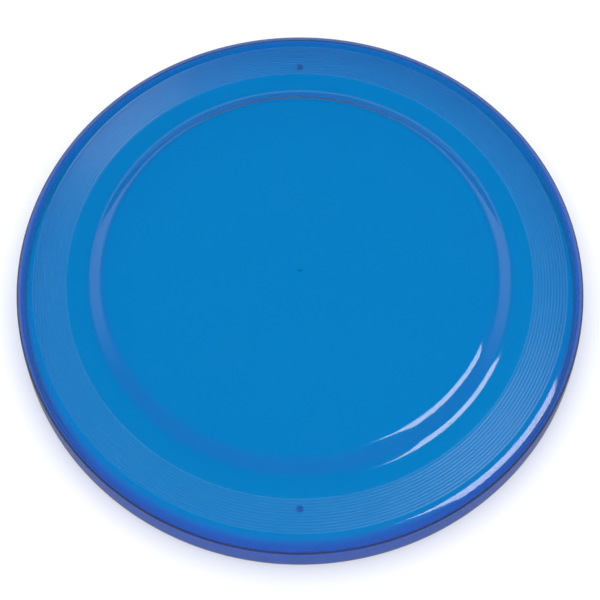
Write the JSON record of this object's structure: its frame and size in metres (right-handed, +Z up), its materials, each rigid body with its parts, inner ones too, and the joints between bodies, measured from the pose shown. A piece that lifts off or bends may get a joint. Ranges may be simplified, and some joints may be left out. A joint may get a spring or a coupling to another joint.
{
  "type": "flying disc",
  "caption": "Single-wall injection-moulded throwing disc: crowned centre plate, rounded step down, band of concentric flight ridges and a turned-down rim, open underneath.",
  "frame": {"origin": "centre of the circle that the rim rests on, at the bottom of the disc's box", "axes": "+Z up through the crown along the disc's axis of revolution; +Y from the centre to one of the two ejector pads, +X to the right of it"},
  "size_m": [0.22, 0.22, 0.0224],
  "materials": {
    "translucent_blue_pp": "clear blue polypropylene, glossy, see-through with a slight haze"
  },
  "bodies": {
    "root": {"disc_moulding": "translucent_blue_pp"}
  },
  "joints": []
}
